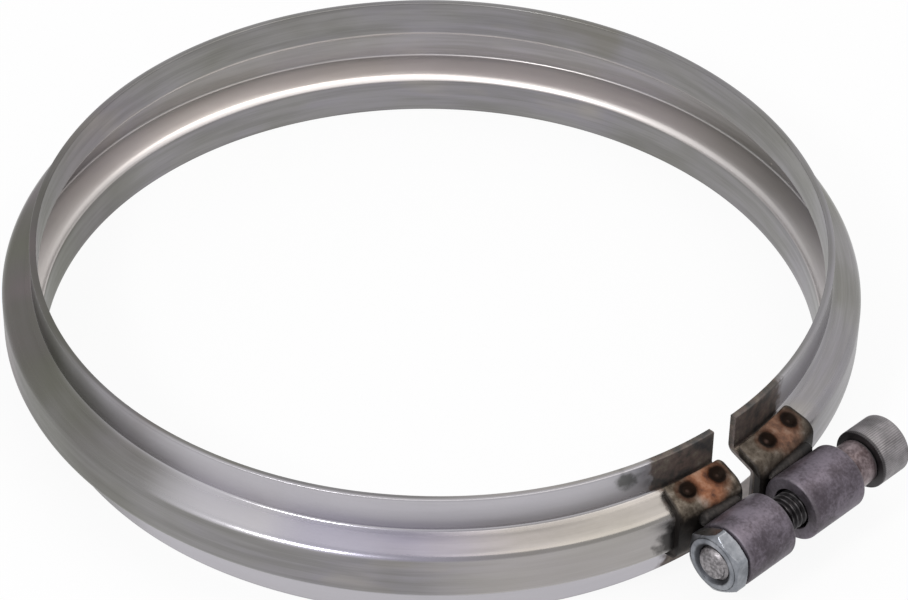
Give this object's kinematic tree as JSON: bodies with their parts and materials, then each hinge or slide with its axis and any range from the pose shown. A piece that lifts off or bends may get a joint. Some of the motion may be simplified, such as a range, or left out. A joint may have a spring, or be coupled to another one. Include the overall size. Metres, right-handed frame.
{
  "type": "v band clamp",
  "caption": "V-section retainer ring with saddle brackets, welded sleeves, a cap screw and a hexagon nut, for joining two flanged ducts.",
  "frame": {"origin": "centre of the ring, half way between its two lip edges", "axes": "+Z along the clamp's axis, +X towards the ring's gap and closing bolt, +Y along the bolt towards its head"},
  "size_m": [0.2043, 0.188, 0.031],
  "materials": {
    "band_steel": "bright rolled stainless steel with fine streaks round the ring",
    "heat_tinted_steel": "heat tinted and rust stained",
    "phosphated_steel": "dull phosphate, purple brown",
    "screw_steel": "plain turned steel",
    "zinc_steel": "zinc plated"
  },
  "bodies": {
    "ring": {"v_band": "band_steel", "nut_side_bracket": "heat_tinted_steel", "head_side_bracket": "heat_tinted_steel", "nut_side_sleeve": "phosphated_steel", "head_side_sleeve": "phosphated_steel"},
    "bolt": {"clamp_bolt": "screw_steel", "bolt_collar": "phosphated_steel"},
    "nut": {"clamp_nut": "zinc_steel"}
  },
  "joints": [
    {"name": "bolt_turn", "type": "hinge", "parent": "ring", "child": "bolt", "pos_m": [0.10305, 0, 0], "axis": [0, 1, 0], "range_deg": [0, 1260]},
    {"name": "nut_travel", "type": "slide", "parent": "ring", "child": "nut", "axis": [0, -1, 0], "range_m": [0, 0.00438]}
  ],
  "couplings": [
    {"joint": "nut_travel", "follows": "bolt_turn", "m_per_rad": 0.00019894}
  ]
}
